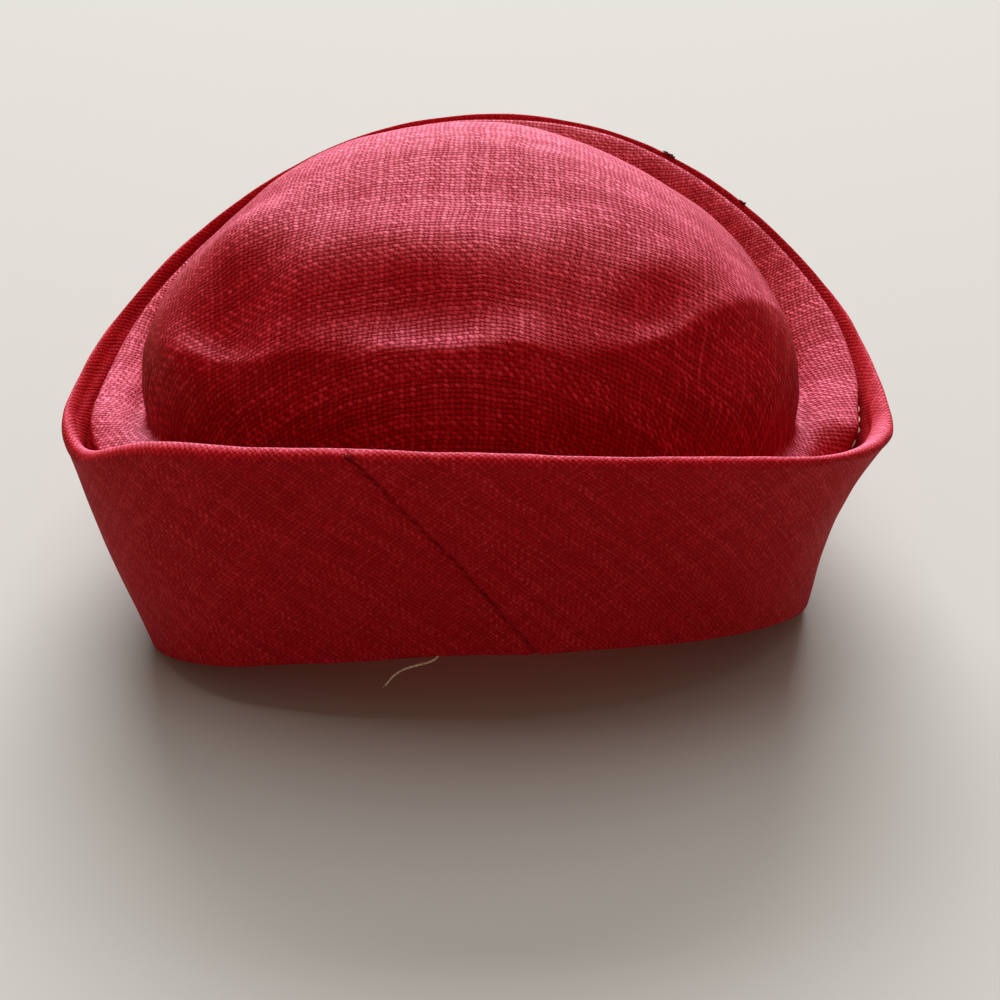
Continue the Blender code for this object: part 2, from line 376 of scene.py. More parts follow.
# Patches of tone, in patches to a metre, how strongly the painted sheen on the side facing the light
# pales the threads, the painted highlights on their tips and the painted shade in their gaps, and how
# rough the darkest and the brightest threads are
MOTTLE_SCALE = 190.0
MOTTLE_REACH = 0.4
THREAD_SHEEN = 1.18
LINEN_ROUGHNESS = (0.75, 0.55)
TIP_SHEEN = 0.45
GAP_SHEEN = 0.6

# Heights and tones over which the painted highlight on thread tips sets in, the heights from a
# thread's flank to its top, and how much of the painted sheen its flank takes
TIP_HEIGHTS = (0.6, 1.0)
TIP_TONES = (0.4, 0.95)
FLANK_TO_TOP = (0.3, 1.0)
FLANK_SHEEN = 0.6

# Yarns of the plain weave: seed, thinnest and thickest as shares of the spacing, and their twist
WARP_YARN = (3.7, 0.40, 0.66, 0.35)
WEFT_YARN = (51.9, 0.36, 0.74, 0.60)

# Noise along the yarns: how far apart they are in it, how slowly their slubs and tones change, how
# far whole yarns differ, and the noise at which one is thinnest and thickest
YARN_APART = 17.3
SLUB_PACE = 0.05
TONE_PACE = 0.03
LOT_REACH = 0.3
SLUB_RANGE = (0.22, 0.78)

# How far a yarn swings up and down at its crossings, how softly two yarns merge in height and in
# tone, how high the crossings lie, and the heights at which a gap is open and closed, which set
# where the painted shade between threads falls
YARN_SWING = 0.38
HEIGHT_MERGE = 0.12
TONE_MERGE = 0.15
CROSSING_HEIGHTS = (0.84, 1.06)
GAP_HEIGHTS = (0.25, 0.92)

# Fibres of a yarn, in fibres to a thread spacing, and their share in its height and tone
YARN_FIBRES = 2.1
YARN_FIBRE_RELIEF = 0.35
YARN_FIBRE_TONE = 0.8

# Fibres of a sewing thread, in fibres to a metre
FIBRE_SCALE = 2600.0

# How the weave strays, in thread spacings: scale and reach of its broad and its fine drift, and the
# reach of the waves of single yarns with their pace along a yarn and from one yarn to the next
BROAD_DRIFT = (0.05, 1.6)
FINE_DRIFT = (0.45, 0.24)
YARN_WAVE = 0.8
WAVE_PACE = (0.17, 0.10)

# Floor, lamps and the points that the camera and the lamps aim at
FLOOR_REACH = 3.5
CAMERA_TARGET = (0.0049, 0.0, 0.0059)
LAMP_TARGET = (0.0, 0.0, 0.06)
SOFT_LAMPS = (
    # name, power, width, depth, place, colour
    ("key_light", "key_power", 8.0, 4.8, (-0.5, 8.7, 6.6), (0.98, 0.99, 1.0)),
    ("top_light", "top_power", 1.6, 1.6, (0.05, 0.5, 2.1), (1.0, 0.99, 0.97)),
)
GLOW_RADIUS = 0.03
GLOW_PLACE = (0.0, -0.01, 0.055)
GLOW_COLOUR = (1.0, 0.12, 0.10)


def distance(name, description, default):
    """A size in metres that a user can change."""
    return FloatProperty(name=name, description=description, default=default, subtype="DISTANCE")


def tint(name, description, default):
    """A colour that a user can change."""
    return FloatVectorProperty(
        name=name, description=description, default=default, subtype="COLOR"
    )


def watts(name, description, default):
    """The power of a lamp that a user can change."""
    return FloatProperty(name=name, description=description, default=default, subtype="POWER")


class HatForm(bpy.types.PropertyGroup):
    """Sizes of the hat."""

    rim_half_width: distance(
        "Rim half width", "Half of the width across the rim of the cuff", 0.1072
    )
    rim_front: distance("Rim front", "Reach of the rim to the front", 0.0965)
    rim_back: distance("Rim back", "Reach of the rim to the back", 0.0968)
    rim_height: distance("Rim height", "Height of the rim at the corners", 0.0613)
    front_lift: distance(
        "Front lift", "How much higher the rim is in the middle of the front", 0.0200
    )
    back_rise: distance("Back rise", "How much higher the rim is at the back", 0.0282)
    foot_half_width: distance(
        "Foot half width", "Half of the width across the lower edge of the cuff", 0.0900
    )
    foot_front: distance("Foot front", "Reach of the lower edge to the front", 0.0926)
    foot_back: distance("Foot back", "Reach of the lower edge to the back", 0.0905)
    arch_height: distance("Arch height", "Height of the arch over the forehead", 0.0217)
    cuff_wall: distance("Cuff wall", "Thickness of the folded cloth of the cuff", 0.0032)
    cuff_roll: distance("Cuff roll", "Thickness of the rolled edge of the cuff", 0.0044)
    crown_cloth: distance("Crown cloth", "Thickness of the cloth of the crown", 0.0016)
    ridge_rise: distance(
        "Ridge rise", "Height of the sharp fold over the front wall of the dome", 0.0014
    )
    groove_depth: distance(
        "Groove depth", "Extra depth of the groove between the dome and its bank", 0.0008
    )
    seam_depth: distance("Seam depth", "Depth of the slanted seam of the cuff", 0.0008)
    unevenness: distance(
        "Unevenness", "How far the hand-shaped cloth strays from its smooth form", 0.0005
    )
    cuff_around: IntProperty(
        name="Cuff divisions",
        description="Divisions of the cuff's mesh round the hat",
        default=560,
    )
    crown_around: IntProperty(
        name="Crown divisions",
        description="Divisions of the crown's mesh round the hat",
        default=400,
    )


class HatCloth(bpy.types.PropertyGroup):
    """Colours and weave of the linen."""

    lit_colour: tint("Thread colour", "Colour of the top of a thread", (0.63, 0.014, 0.024))
    deep_colour: tint("Deep colour", "Colour of the darkest threads", (0.42, 0.002, 0.005))
    # Colour of the painted sheen where the threads face the light
    sheen_colour: tint(
        "Faded colour", "Colour of the threads where the light has paled them", (0.98, 0.27, 0.43)
    )
    # Colour of the painted shade in the gaps between threads and down in the seam
    gap_shade_colour: tint("Gap colour", "Colour between the threads", (0.20, 0.0006, 0.0024))
    cuff_spacing: distance(
        "Cuff thread spacing", "Distance from one thread of the cuff's weave to the next", 0.00113
    )
    warp_spacing: distance(
        "Crown warp spacing", "Distance between the lengthwise threads of the stretched crown", 0.00132
    )
    weft_spacing: distance(
        "Crown weft spacing", "Distance between the crosswise threads of the stretched crown", 0.00118
    )
    weave_depth: distance("Weave depth", "Depth of the relief of the weave", 0.00030)
    thread_colour: tint("Sewing thread", "Colour of the undyed sewing thread", (0.92, 0.70, 0.50))
    knot_colour: tint(
        "Knot thread", "Colour of the tangled threads on the rim", (0.16, 0.006, 0.012)
    )


class HatStage(bpy.types.PropertyGroup):
    """Camera, floor and light."""

    camera_distance: distance(
        "Camera distance", "Distance from the camera to the point that it looks at", 0.4787
    )
    camera_elevation: FloatProperty(
        name="Camera elevation",
        description="Angle of the camera above the horizon",
        default=math.radians(34.0),
        subtype="ANGLE",
    )
    camera_azimuth: FloatProperty(
        name="Camera azimuth",
        description="Angle of the camera round the hat, from straight in front",
        default=math.radians(1.74),
        subtype="ANGLE",
    )
    camera_lens: FloatProperty(
        name="Camera lens",
        description="Focal length for a sensor 36 mm wide",
        default=57.86,
        subtype="DISTANCE_CAMERA",
    )
    floor_colour: tint("Floor colour", "Colour of the plain floor", (0.455, 0.452, 0.438))
    key_power: watts("Key light", "Power of the wide soft light behind the hat", 1800.0)
    top_power: watts("Top light", "Power of the wide light straight above the hat", 30.0)
    glow_power: watts(
        "Cloth glow", "Power of the red light that comes through the thin cloth of the crown", 0.022
    )
    wall_colour: tint(
        "Wall colour", "Colour of the far wall behind the floor", (0.42, 0.415, 0.40)
    )
    room_light: FloatProperty(
        name="Room light",
        description="Strength of the light from all round",
        default=0.215,
    )
    room_colour: tint("Room colour", "Colour of the light from all round", (1.0, 0.76, 0.54))


# Shape of the hat


def outline(turns, half_width, front, back, corner_line, squareness=UPPER_SQUARENESS):
    """Plan outline at angles from the front, turning towards +X."""
    side, ahead = np.sin(turns), np.cos(turns)
    reach = np.where(ahead > 0, front + corner_line, back - corner_line)
    power = np.where(ahead > 0, squareness[0], squareness[1])
    size = (np.abs(side) ** power + np.abs(ahead) ** power) ** (-1 / power)
    return half_width * size * side, corner_line - reach * size * ahead


def turn_away(turns, middle):
    return (turns - middle + math.pi) % (2 * math.pi) - math.pi


def hump(turns, middle, spread):
    """Smooth hump of height 1 at an angle from the front, both angles in degrees."""
    away = turn_away(turns, math.radians(middle))
    return np.exp(-((away / math.radians(spread)) ** 2))


def rim_points(form, turns):
    """Highest line of the cuff."""
    x, y = outline(turns, form.rim_half_width, form.rim_front, form.rim_back, RIM_CORNER_LINE)
    backness = np.clip((y - RIM_CORNER_LINE) / (form.rim_back - RIM_CORNER_LINE), 0, None)
    sideways = np.abs(x / form.rim_half_width) ** LIFT_SQUARENESS
    lift = np.where(y < RIM_CORNER_LINE, np.clip(1 - sideways, 0, None), 0)
    z = form.rim_height + form.front_lift * lift + form.back_rise * backness**2
    for _, middle, spread, rise in RIM_WAVES:
        z = z + rise * hump(turns, middle, spread)
    x = x + RIM_BACK_DRIFT * backness**2
    for _, middle, spread, out in RIM_BELLIES:
        push = out * hump(turns, middle, spread)
        x = x + push * np.sin(turns)
        y = y - push * np.cos(turns)
    return np.stack((x, y, z), axis=-1)


def foot_points(form, turns):
    """Lowest line of the cuff, arched up over the forehead."""
    away = turn_away(turns, ARCH_MIDDLE)
    share = np.minimum(1, np.abs(away) / np.where(away > 0, ARCH_TO_RIGHT, ARCH_TO_LEFT))
    arch = form.arch_height * (1 - share**2) ** ARCH_SOFTNESS
    sizes = (form.foot_half_width, form.foot_front, form.foot_back, FOOT_CORNER_LINE)
    left = outline(turns, *sizes, FOOT_LEFT_SQUARENESS)
    right = outline(turns, *sizes, FOOT_RIGHT_SQUARENESS)
    x, y = np.where(np.sin(turns) > 0, right, left)
    return np.stack((x + FOOT_MIDDLE, y, arch), axis=-1)


def inward(form, turns):
    """Level unit vectors pointing into the hat, square to the rim."""
    step = 1e-3
    ahead = rim_points(form, turns + step) - rim_points(form, turns - step)
    normal = np.stack((-ahead[..., 1], ahead[..., 0], np.zeros(ahead.shape[:-1])), axis=-1)
    return normal / np.linalg.norm(normal, axis=-1, keepdims=True)


def wall_points(form, turns, share, inset):
    """Points of the cuff at a share of its height and an inset from its outer face."""
    foot, rim = foot_points(form, turns), rim_points(form, turns)
    share = np.broadcast_to(share, turns.shape)
    rightness = 0.5 + 0.5 * np.sin(turns)
    waist = LEFT_WAIST + (RIGHT_WAIST - LEFT_WAIST) * rightness
    drawn = inset + waist * np.sin(math.pi * share**WAIST_RISE)
    return foot + (rim - foot) * share[..., None] + inward(form, turns) * drawn[..., None]


def rim_profile(turns, column):
    """A column of the rim's table at angles from the front, smoothly blended."""
    knots = np.array(RIM_PROFILE)
    total = 0
    weights = 0
    for step in np.linspace(-1, 1, RIM_SOFT_STEPS):
        angle = (np.degrees(turns) + RIM_SOFTNESS * step + 180) % 360 - 180
        weight = 1.1 - abs(step)
        total = total + weight * np.interp(angle, knots[:, 0], knots[:, column])
        weights += weight
    return total / weights


def roll_extra(form, turns):
    """How much thicker the rolled edge is than its usual thickness."""
    return rim_profile(turns, 1) - form.cuff_roll


class RimRun:
    """Distances along the rim, from straight in front."""

    samples = 8001

    def __init__(self, form):
        self.turns = np.linspace(-math.pi, 3 * math.pi, self.samples)
        points = rim_points(form, self.turns)
        steps = np.linalg.norm(np.diff(points, axis=0), axis=1)
        self.runs = np.concatenate(([0.0], np.cumsum(steps)))
        self.runs -= np.interp(0.0, self.turns, self.runs)
        self.length = self.at(2 * math.pi) - self.at(0.0)

    def at(self, turns):
        return np.interp(turns, self.turns, self.runs)

    def turn(self, runs):
        return np.interp(runs, self.runs, self.turns)


def grid_normals(points, ring=False):
    """Unit normals of a grid that closes on itself along its rows, and across them if a ring."""
    along = np.roll(points, -1, axis=1) - np.roll(points, 1, axis=1)
    if ring:
        up = np.roll(points, -1, axis=0) - np.roll(points, 1, axis=0)
    else:
        up = np.gradient(points, axis=0)
    normal = np.cross(along, up)
    return normal / np.maximum(np.linalg.norm(normal, axis=-1, keepdims=True), 1e-12)


def cloth_noise(points, wavelength, seed):
    """Smooth noise from -1 to 1 at each point of a grid."""
    offset = Vector((seed, 2.7 * seed, -1.3 * seed))
    flat = points.reshape(-1, 3) / wavelength
    values = [noise.noise(Vector(point) + offset) for point in flat]
    return np.array(values).reshape(points.shape[:-1])


def cloth_waves(points, waves):
    """Unevenness of the cloth, as a share of its full reach."""
    return sum(share * cloth_noise(points, wavelength, seed) for wavelength, seed, share in waves)


def painted_sheen_facing(normals, light_direction):
    """Share of painted sheen, paler and pinker, from 1 where the cloth faces the light to 0 in its
    lee.
    """
    facing_light = normals @ np.array(light_direction)
    return np.clip((facing_light - SHEEN_START) / (1 - SHEEN_START), 0, 1) ** SHEEN_POWER


def close_round(grid):
    """The grid with its first column repeated at its end."""
    return np.concatenate((grid, grid[:, :1]), axis=1)


def cloth_sheet(points, threads, faded, crease):
    """Sheet of cloth: a flat grid with each of its corners moved to its point.

    The places of the corners on the uncut cloth become the UV map, in metres.
    """
    rows, columns = points.shape[:2]
    mesh = bmesh.new()
    bmesh.ops.create_grid(mesh, x_segments=columns - 1, y_segments=rows - 1, size=1)
    # Layers for the painted sheen where the cloth faces the light and the painted shade down in the
    # seam
    paled = mesh.verts.layers.float.new("faded")
    creased = mesh.verts.layers.float.new("crease")
    values = zip(mesh.verts, points.reshape(-1, 3), faded.ravel(), crease.ravel())
    for vert, point, pale, sunk in values:
        vert.co = point
        vert[paled] = pale
        vert[creased] = sunk
    mesh.verts.index_update()
    layer = mesh.loops.layers.uv.new("cloth")
    places = threads.reshape(-1, 2)
    for face in mesh.faces:
        for loop in face.loops:
            loop[layer].uv = places[loop.vert.index]
    return mesh


def close_sheet(mesh):
    """Joins the edges of a sheet that meet, and turns its faces outwards."""
    bmesh.ops.remove_doubles(mesh, verts=mesh.verts, dist=1e-6)
    bmesh.ops.recalc_face_normals(mesh, faces=mesh.faces)


# Cuff


def cuff_section(form):
    """Rows of the cuff, up its outer face, over its roll, down its inner face and round its hem.

    Each has its share of the cuff's height, its inset and its share of the roll's thickness.
    """
    rows = [(share, 0.0, 0.0) for share in np.linspace(HEM_END, ROLL_START, FACE_ROWS)]
    for angle in np.linspace(0, math.pi, ROLL_STEPS + 1)[1:]:
        power = ROLL_FLATNESS if angle < math.pi / 2 else ROLL_INNER_FALL
        rise = (1 - ROLL_START) * max(math.sin(angle), 0.0) ** power
        across = 0.5 * (1 - math.cos(angle))
        rows.append((ROLL_START + rise, form.cuff_roll * across, across))
    for step in np.linspace(0, 1, BEND_STEPS + 1)[1:]:
        left = 1 - step**2 * (3 - 2 * step)
        inset = form.cuff_wall + (form.cuff_roll - form.cuff_wall) * left
        rows.append((ROLL_START + (ROLL_BLEND - ROLL_START) * step, inset, left))
    for share in np.linspace(ROLL_BLEND, HEM_END, INNER_STEPS + 1)[1:]:
        rows.append((share, form.cuff_wall, 0.0))
    for angle in np.linspace(0, math.pi, HEM_STEPS + 1)[1:-1]:
        rise = HEM_END * (1 - math.sin(angle))
        rows.append((rise, 0.5 * form.cuff_wall * (1 + math.cos(angle)), 0.0))
    return rows


def seam_spacing(count):
    """Shares round the cuff from its seam back to it, closest together at the seam."""
    even = np.arange(count) / count
    return even - SEAM_CROWDING * np.sin(2 * math.pi * even) / (2 * math.pi)


def seam_start(run, shares):
    """Distances along the rim at which the seam crosses the rows of the cuff."""
    slow, quick = SEAM_WAVER_TURNS
    start = run.at(SEAM_TURN_FOOT + (SEAM_TURN_RIM - SEAM_TURN_FOOT) * shares)
    return start + SEAM_WAVER * np.sin(shares * slow) * np.sin(shares * quick)


def seam_strength(up):
    """How plainly the seam shows at a height, between a half and one."""
    slow, quick = SEAM_DEPTH_WAVES
    return 0.75 + 0.25 * np.sin(up / slow) * np.sin(up / quick + 1)


def seam_relief(form, away, up, outer):
    """Depth of the slanted seam and its puckers, on the outer face and the roll."""
    line = -form.seam_depth * np.exp(-((away / SEAM_HALF_WIDTH) ** 2)) * seam_strength(up)
    rows = np.sin(up / PUCKER_LENGTH + 3 * np.sin(up / PUCKER_DRIFT))
    pucker = PUCKER_DEPTH * np.exp(-((away / PUCKER_REACH) ** 2)) * rows
    swell = SWELL_RISE * np.exp(-(((np.abs(away) - SWELL_AWAY) / SWELL_WIDTH) ** 2))
    return (line + pucker + swell) * outer


def cuff_grid(form):
    """Points of the cuff's whole skin, their places on its strip of cloth, and the seam's painted
    shade.
    """
    run = RimRun(form)
    shares, insets, rolled = np.array(cuff_section(form)).T[..., None]
    start = seam_start(run, shares)
    around = seam_spacing(form.cuff_around)[None, :] * run.length
    turns = run.turn(start + around)
    outside = (np.arange(len(shares)) < ROLL_TOP_ROW)[:, None]
    bulge = np.exp(-(((shares - ROLL_START - BULGE_ABOVE) / BULGE_SPREAD) ** 2)) * outside
    insets_there = insets + rolled * roll_extra(form, turns) - ROLL_BULGE * bulge
    points = wall_points(form, turns, shares, insets_there)
    steps = np.diff(points[:, :1], axis=0, prepend=points[:1, :1])
    up = np.cumsum(np.linalg.norm(steps, axis=2), axis=0)
    threads = np.stack((start + around, np.broadcast_to(up, turns.shape)), axis=-1)
    last = threads[:, :1] + np.array((run.length, 0.0))
    outer = np.clip((SEAM_END - insets / form.cuff_roll) / SEAM_END_FADE, 0, 1)
    away = np.minimum(around, run.length - around) * SEAM_SLANT
    relief = seam_relief(form, away, up, outer)
    relief = relief + form.unevenness * cloth_waves(points, CUFF_WAVES)
    relief *= np.clip(points[..., 2] / FOOT_CALM, 0, 1)
    points = points + outer_normals(points) * relief[..., None]
    points[..., 2] = np.maximum(points[..., 2], 0.0)
    # Painted shade down in the seam's groove
    shade = SEAM_DARKNESS * np.exp(-((away / SEAM_SHADE_WIDTH) ** 2)) * outer * seam_strength(up)
    return points, np.concatenate((threads, last), axis=1), shade


def outer_normals(points):
    """Unit normals of the cuff's closed skin, pointing out of the cloth."""
    normals = grid_normals(points, ring=True)
    outwards = points[OUTER_ROW] - points.reshape(-1, 3).mean(axis=0)
    return normals if (normals[OUTER_ROW] * outwards).sum() > 0 else -normals


def make_cuff(form):
    points, threads, shade = cuff_grid(form)
    # Painted sheen where the cuff faces its light
    paled = painted_sheen_facing(outer_normals(points), CUFF_SHEEN_LIGHT)
    closed, shade, paled = (np.concatenate((grid, grid[:1])) for grid in (points, shade, paled))
    threads = np.concatenate((threads, threads[-1:] + np.array((0.0, HEM_STEP))))
    mesh = cloth_sheet(close_round(closed), threads, close_round(paled), close_round(shade))
    close_sheet(mesh)
    return mesh


# Crown


def curve_point(a, b, c, d, share):
    """Point of a Catmull-Rom curve at a share of the way from b to c."""
    bend = (2 * a - 5 * b + 4 * c - d) * share**2 + (3 * b - a - 3 * c + d) * share**3
    return b + 0.5 * ((c - a) * share + bend)


def smooth_rows(rows):
    """Rings along a smooth curve through the given rings, with the steps of each."""
    steps, rings = zip(*rows)
    beyond = 2 * rings[-1] - rings[-2]
    beyond[:, 2] = rings[-2][:, 2]
    knots = [rings[0], *rings, beyond]
    made = []
    for count, *four in zip(steps, knots, knots[1:], knots[2:], knots[3:]):
        made += [curve_point(*four, step / count) for step in range(count)]
    return np.array([*made, rings[-1]])


def bank_ring(form, turns, row):
    """Ring of the crown's bank, measured from the cuff's inner face and from the rim."""
    _, _, gap_share, extra_inset, extra_below = row
    below = rim_profile(turns, 3) + extra_below
    height = rim_points(form, turns)[:, 2] - foot_points(form, turns)[:, 2]
    share = 1 - below / height
    rolled = np.clip((share - ROLL_BLEND) / (ROLL_START - ROLL_BLEND), 0, 1)
    rolled = rolled**2 * (3 - 2 * rolled)
    thicker = np.maximum(form.cuff_roll + roll_extra(form, turns) - form.cuff_wall, 0)
    inset = form.cuff_wall + thicker * rolled + gap_share * rim_profile(turns, 2) + extra_inset
    return wall_points(form, turns, share, inset)


def dome_ring(turns, row):
    name, _, half_width, front, back, widest, z_front, z_side, z_back = row
    x, y = outline(turns, half_width, front, back, widest)
    ahead = np.cos(turns)
    z = z_side + (np.where(ahead > 0, z_front, z_back) - z_side) * ahead**2
    if name == "groove":
        for _, middle, spread, depth in GROOVE_DIPS:
            z = z - depth * hump(turns, middle, spread)
    return np.stack((x + DOME_DRIFT, y, z), axis=-1)


def fold_rise(x, y):
    """Rise of the dome's soft dents and swells."""
    rise = np.zeros_like(x)
    for _, middle_x, middle_y, length, width, turn, height in CROWN_FOLDS:
        turn = math.radians(turn)
        east, north = x - middle_x, y - middle_y
        along = east * math.cos(turn) + north * math.sin(turn)
        across = north * math.cos(turn) - east * math.sin(turn)
        rise += height * np.exp(-((along / length) ** 2) - (across / width) ** 2)
    return rise


def line_distance(x, y, line):
    """Distance in plan from each point to a line of points, and the line's strength there."""
    nearest = np.full_like(x, 1.0)
    strength = np.zeros_like(x)
    for (ax, ay, a_strength), (bx, by, b_strength) in zip(line, line[1:]):
        length = math.hypot(bx - ax, by - ay)
        share = ((x - ax) * (bx - ax) + (y - ay) * (by - ay)) / length**2
        share = np.clip(share, 0, 1)
        away = np.hypot(x - ax - (bx - ax) * share, y - ay - (by - ay) * share)
        closer = away < nearest
        nearest = np.where(closer, away, nearest)
        strength = np.where(closer, a_strength + (b_strength - a_strength) * share, strength)
    return nearest, strength


def ridge_relief(form, points):
    """Sharp fold of the dome over its front wall."""
    away, strength = line_distance(points[..., 0], points[..., 1], RIDGE_LINE)
    soft = np.sqrt(away**2 + RIDGE_ROUND**2)
    on_dome = np.clip((points[..., 2] - RIDGE_LOWEST) / RIDGE_FADE, 0, 1)
    return form.ridge_rise * strength * np.exp(-soft / RIDGE_REACH) * on_dome


def crown_threads(points, lengths):
    """Places on the flat cloth of a crown draped without stretching its threads."""
    east = points[..., 0] - DOME_PEAK[0]
    north = points[..., 1] - DOME_PEAK[1]
    radius = np.hypot(east, north)
    bearing = np.arctan2(north, east)
    spare = 1 - radius / np.maximum(lengths, 1e-6)
    spare = np.clip(spare, 0, DRAPE_LIMIT)
    bearing = bearing - spare * np.sin(4 * bearing) / 4
    reach = lengths * (1 - DRAPE_PULL * spare * np.sin(2 * bearing) ** 2)
    across, along = reach * np.cos(bearing), reach * np.sin(bearing)
    sag = WEFT_SAG * across**2 / (1 + (across / WEFT_SAG_REACH) ** 2)
    return np.stack((across, along + sag), axis=-1)


def crown_rows(form, turns):
    """Rings of the crown from the seam to the peak, each with its steps to the next."""
    rows = [(row[1], bank_ring(form, turns, row)) for row in CROWN_BANK]
    groove = dome_ring(turns, CROWN_DOME[0])
    fall = BANK_FALL_SHARE * rows[-1][1] + (1 - BANK_FALL_SHARE) * groove
    fall[:, 2] += BANK_FALL
    rows.append((BANK_FALL_STEPS, fall))
    rows += [(row[1], dome_ring(turns, row)) for row in CROWN_DOME]
    rows.append((1, np.tile(DOME_PEAK, (len(turns), 1))))
    return rows


def peak_normals(points):
    """Unit normals of the crown, which point straight up at its peak."""
    normals = grid_normals(points)
    normals[-1] = (0, 0, 1)
    return normals


def crown_grid(form):
    """Points of the crown's upper face from the seam to the peak, and their places on its cloth."""
    run = RimRun(form)
    turns = run.turn(np.arange(form.crown_around) / form.crown_around * run.length)
    points = smooth_rows(crown_rows(form, turns))
    points[..., 2] += fold_rise(points[..., 0], points[..., 1])
    steps = np.linalg.norm(np.diff(points, axis=0), axis=2)
    lengths = np.concatenate((np.cumsum(steps[::-1], axis=0)[::-1], np.zeros((1, len(turns)))))
    threads = crown_threads(points, lengths)
    groove_row = sum(row[1] for row in CROWN_BANK) + BANK_FALL_STEPS
    from_groove = np.abs(lengths - lengths[groove_row])
    loose = np.clip(np.abs(lengths - lengths[0]) / SEAM_CALM, 0, 1)
    relief = ridge_relief(form, points) - form.groove_depth * np.exp(-from_groove / GROOVE_REACH)
    relief = relief + loose * form.unevenness * cloth_waves(points, CROWN_WAVES)
    relief[-1] = relief[-1].mean()
    return points + peak_normals(points) * relief[..., None], threads


def make_crown(form):
    points, threads = crown_grid(form)
    # Painted sheen where the crown faces its light; the crown gets no painted seam shade
    paled = close_round(painted_sheen_facing(peak_normals(points), CROWN_SHEEN_LIGHT))
    mesh = cloth_sheet(close_round(points), close_round(threads), paled, 0 * paled)
    close_sheet(mesh)
    return mesh


# Threads


def strand(mesh, points, radii, sides=8):
    """Round thread through the given points, closed at both ends."""
    points = [Vector(point) for point in points]
    rings = []
    up = Vector((0, 0, 1))
    for number, (point, radius) in enumerate(zip(points, radii)):
        ahead = points[min(number + 1, len(points) - 1)] - points[max(number - 1, 0)]
        side = ahead.cross(up).normalized()
        up = side.cross(ahead).normalized()
        frame = Matrix((side, up, ahead.normalized())).transposed().to_4x4()
        end = number in (0, len(points) - 1)
        made = bmesh.ops.create_circle(
            mesh,
            cap_ends=end,
            segments=sides,
            radius=radius,
            matrix=Matrix.Translation(point) @ frame,
        )
        verts = set(made["verts"])
        edges = {edge for vert in verts for edge in vert.link_edges}
        rings.append([edge for edge in edges if verts.issuperset(edge.verts)])
    for ring, following in zip(rings, rings[1:]):
        bmesh.ops.bridge_loops(mesh, edges=ring + following)


def smooth_path(points, steps):
    """Points of a smooth curve through the given points."""
    points = [Vector(point) for point in points]
    knots = [2 * points[0] - points[1], *points, 2 * points[-1] - points[-2]]
    path = []
    for four in zip(knots, knots[1:], knots[2:], knots[3:]):
        path += [curve_point(*four, step / steps) for step in range(steps)]
    return [*path, points[-1]]


def make_seam_stitches(form):
    """Running stitches that hold the bank to the cuff in the open gap at the right corner."""
    mesh = bmesh.new()
    run = RimRun(form)
    row = ("stitches", 1, STITCH_GAP_SHARE, STITCH_INSET, STITCH_BELOW)
    arch = np.sin(np.linspace(0, math.pi, STITCH_POINTS))
    lift = STITCH_RADIUS * (STITCH_ARCH * arch[:, None] - STITCH_SINK)
    for number in range(STITCH_COUNT):
        first = run.at(STITCH_START) + number * STITCH_PITCH
        turns = run.turn(np.linspace(first, first + STITCH_LENGTH, STITCH_POINTS))
        line = bank_ring(form, turns, row) - inward(form, turns) * lift
        strand(mesh, line, STITCH_RADIUS * (STITCH_END + (1 - STITCH_END) * arch))
    return mesh


def make_loose_thread():
    """Loose sewing thread that hangs from the hem, with a split end."""
    mesh = bmesh.new()
    path = smooth_path(LOOSE_THREAD, 7)
    strand(mesh, path, np.linspace(1, 0.75, len(path)) * THREAD_RADIUS)
    tip, before = path[-1], path[-6]
    ahead = (tip - before).normalized() * SPLIT_LENGTH
    for split in SPLIT_FIBRES:
        out = Vector(split)
        fibre = smooth_path((before, tip + 0.3 * out, tip + ahead + out), 5)
        strand(mesh, fibre, np.linspace(0.45, 0.2, len(fibre)) * THREAD_RADIUS, 6)
    return mesh


def smooth_draws(place):
    """Three smooth noises from -1 to 1 at a place, the same in each run."""
    return [noise.noise(place + Vector((0.0, 0.0, far))) for far in KNOT_DRAWS]


def knot_path(place, along, size, seed, loop):
    """One loop of a tangle of thread that lies along the rim."""
    tangle = []
    for step in range(KNOT_POINTS):
        side, out, rise = smooth_draws(Vector((seed, 1.7 * loop, 1.3 * step)))
        lifted = Vector((side, out, 0.9 * abs(rise) + 0.1))
        run = step / (KNOT_POINTS - 1) - 0.5 + 0.1 * loop
        tangle.append(place + along * size * run + KNOT_SPREAD * size * lifted)
    return smooth_path(tangle, 4)


def make_rim_knots(form):
    """Small tangles of thread on the rear of the rim."""
    mesh = bmesh.new()
    for turn, size, seed in RIM_KNOTS:
        turns = math.radians(turn) + np.array((0, 0.01))
        place, beside = wall_points(form, turns, KNOT_SHARE, 0.5 * rim_profile(turns, 1))
        along = Vector(beside - place).normalized()
        for loop in range(KNOT_LOOPS):
            path = knot_path(Vector(place), along, size, seed, loop)
            strand(mesh, path, np.linspace(1, 0.45, len(path)) * KNOT_RADIUS, 6)
    return mesh


def make_seam_fray(form):
    """Short fibres where the slanted seam crosses the rim."""
    mesh = bmesh.new()
    turns = SEAM_TURN_RIM + np.array((0, 0.01))
    top = Vector(wall_points(form, turns, FRAY_SHARE, FRAY_INSET)[0])
    for side, out, rise in FRAY_FIBRES:
        middle = top + 0.5 * Vector((1.4 * side, -1.3 * out, 1.5 * rise))
        path = smooth_path((top, middle, top + Vector((side, -out, rise))), 4)
        strand(mesh, path, np.linspace(1, 0.4, len(path)) * FRAY_RADIUS, 6)
    return mesh


# Cloth material


